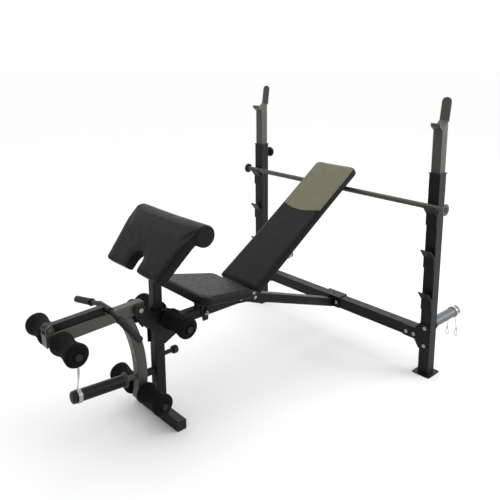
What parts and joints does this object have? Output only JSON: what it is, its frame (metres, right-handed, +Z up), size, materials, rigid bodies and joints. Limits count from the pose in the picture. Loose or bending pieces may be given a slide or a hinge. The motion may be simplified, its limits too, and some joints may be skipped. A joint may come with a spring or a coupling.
{
  "type": "adjustable weight bench",
  "caption": "Adjustable weight bench with telescoping bar uprights, inclined backrest, seat, arm-curl pad, leg developer with foam rollers and plate storage pegs.",
  "frame": {"origin": "on the floor under the middle of the bench's overall box", "axes": "+Z up; +Y towards the uprights, the way the head points when lying down; +X to the left of someone lying on the bench"},
  "size_m": [1.358, 1.8745, 1.344],
  "materials": {
    "black_powder_coat": "satin black powder coat",
    "grey_paint": "grey metallic paint",
    "zinc_plate": "zinc plated",
    "black_plastic": "moulded black plastic",
    "black_vinyl": "grained vinyl upholstery",
    "board": "plywood with a black back cloth",
    "foam_rubber": "matte closed-cell foam",
    "black_rubber": "moulded rubber",
    "chrome_wire": "chromed spring wire"
  },
  "bodies": {
    "frame": {"upright_posts": "black_powder_coat", "foot_plates": "black_powder_coat", "bar_hooks": "black_powder_coat", "upright_bushes": "black_plastic", "plate_pegs": "black_powder_coat", "peg_caps": "black_plastic", "clamp_nuts": "black_powder_coat", "cross_beam": "black_powder_coat", "gusset_plates": "black_powder_coat", "frame_bolts": "zinc_plate", "centre_bracket": "black_powder_coat", "sloping_beam": "black_powder_coat", "level_beam": "black_powder_coat", "joint_plates": "black_powder_coat", "front_post": "black_powder_coat", "front_foot": "black_powder_coat", "foot_end_caps": "black_plastic", "stop_bumper": "black_rubber", "pivot_plates": "black_powder_coat", "pivot_bosses": "black_plastic", "cross_bolts": "zinc_plate", "frame_roller_shafts": "black_powder_coat", "frame_shaft_caps": "black_plastic"},
    "left_inner_post": {"left_inner_upright": "grey_paint", "left_saddle": "grey_paint"},
    "right_inner_post": {"right_inner_upright": "grey_paint", "right_saddle": "grey_paint"},
    "backrest_bar": {"support_bar": "grey_paint", "bar_end_plugs": "black_plastic"},
    "backrest": {"back_cushion": "black_vinyl", "back_board": "board", "back_rails": "black_powder_coat"},
    "seat": {"seat_cushion": "black_vinyl", "seat_board": "board", "seat_brackets": "black_powder_coat"},
    "preacher": {"preacher_cushion": "black_vinyl", "preacher_board": "board", "preacher_post": "black_powder_coat", "preacher_mount_bolts": "zinc_plate"},
    "leg_developer": {"developer_arm": "grey_paint", "curved_arm": "grey_paint", "clevis_pin": "zinc_plate", "developer_roller_shafts": "grey_paint", "developer_shaft_caps": "black_plastic", "weight_sleeve": "black_powder_coat", "sleeve_cap": "black_plastic"},
    "curl_handle": {"curl_stem": "black_powder_coat", "curl_bar": "black_powder_coat", "curl_grips": "black_rubber"},
    "upright_knob": {"upright_clamp_knob": "black_plastic"},
    "post_knob": {"post_clamp_knob": "black_plastic"},
    "left_top_foam": {"left_top_roller": "foam_rubber"},
    "left_front_foam": {"left_front_roller": "foam_rubber"},
    "left_lower_foam": {"left_lower_roller": "foam_rubber"},
    "left_peg_clip": {"left_peg_collar": "chrome_wire"},
    "right_top_foam": {"right_top_roller": "foam_rubber"},
    "right_front_foam": {"right_front_roller": "foam_rubber"},
    "right_lower_foam": {"right_lower_roller": "foam_rubber"},
    "right_peg_clip": {"right_peg_collar": "chrome_wire"},
    "sleeve_clip": {"sleeve_collar": "chrome_wire"}
  },
  "joints": [
    {"name": "left_upright_height", "type": "slide", "parent": "frame", "child": "left_inner_post", "axis": [0, 0, 1], "range_m": [-0.15, 0.1]},
    {"name": "right_upright_height", "type": "slide", "parent": "frame", "child": "right_inner_post", "axis": [0, 0, 1], "range_m": [-0.15, 0.1]},
    {"name": "backrest_tilt", "type": "hinge", "parent": "frame", "child": "backrest", "pos_m": [0, 0.01234, 0.44801], "axis": [1, 0, 0], "range_deg": [0, 20]},
    {"name": "backrest_bar_lift", "type": "slide", "parent": "frame", "child": "backrest_bar", "axis": [0, -0.45, 0.893], "range_m": [0, 0.06]},
    {"name": "seat_tilt", "type": "hinge", "parent": "frame", "child": "seat", "pos_m": [0, -0.06725, 0.447], "axis": [1, 0, 0], "range_deg": [0, 11.35]},
    {"name": "leg_developer_swing", "type": "hinge", "parent": "frame", "child": "leg_developer", "pos_m": [0, -0.55825, 0.525], "axis": [1, 0, 0], "range_deg": [-60, 0]},
    {"name": "curl_handle_swing", "type": "hinge", "parent": "leg_developer", "child": "curl_handle", "pos_m": [0, -0.91925, 0.551], "axis": [1, 0, 0], "range_deg": [0, 90]},
    {"name": "preacher_height", "type": "slide", "parent": "frame", "child": "preacher", "axis": [0, 0, 1], "range_m": [0, 0.15]},
    {"name": "upright_knob_turn", "type": "hinge", "parent": "frame", "child": "upright_knob", "pos_m": [-0.6, 0.73775, 0.946], "axis": [0, 1, 0], "continuous": true},
    {"name": "post_knob_turn", "type": "hinge", "parent": "frame", "child": "post_knob", "pos_m": [0, -0.39225, 0.275], "axis": [0, 1, 0], "continuous": true},
    {"name": "left_top_roller_spin", "type": "hinge", "parent": "frame", "child": "left_top_foam", "pos_m": [0.11, -0.42625, 0.449], "axis": [1, 0, 0], "continuous": true},
    {"name": "left_front_roller_spin", "type": "hinge", "parent": "leg_developer", "child": "left_front_foam", "pos_m": [0.11, -0.89225, 0.502], "axis": [1, 0, 0], "continuous": true},
    {"name": "left_lower_roller_spin", "type": "hinge", "parent": "leg_developer", "child": "left_lower_foam", "pos_m": [0.11, -0.55525, 0.161], "axis": [1, 0, 0], "continuous": true},
    {"name": "right_top_roller_spin", "type": "hinge", "parent": "frame", "child": "right_top_foam", "pos_m": [-0.11, -0.42625, 0.449], "axis": [1, 0, 0], "continuous": true},
    {"name": "right_front_roller_spin", "type": "hinge", "parent": "leg_developer", "child": "right_front_foam", "pos_m": [-0.11, -0.89225, 0.502], "axis": [1, 0, 0], "continuous": true},
    {"name": "right_lower_roller_spin", "type": "hinge", "parent": "leg_developer", "child": "right_lower_foam", "pos_m": [-0.11, -0.55525, 0.161], "axis": [1, 0, 0], "continuous": true},
    {"name": "left_peg_collar_slide", "type": "slide", "parent": "frame", "child": "left_peg_clip", "axis": [0, -1, 0], "range_m": [-0.05, 0.17]},
    {"name": "right_peg_collar_slide", "type": "slide", "parent": "frame", "child": "right_peg_clip", "axis": [0, -1, 0], "range_m": [-0.05, 0.17]},
    {"name": "sleeve_collar_slide", "type": "slide", "parent": "leg_developer", "child": "sleeve_clip", "axis": [0, 0.9976, -0.0698], "range_m": [-0.05, 0.17]}
  ],
  "couplings": [
    {"joint": "backrest_bar_lift", "follows": "backrest_tilt", "m_per_rad": 0.1718}
  ]
}
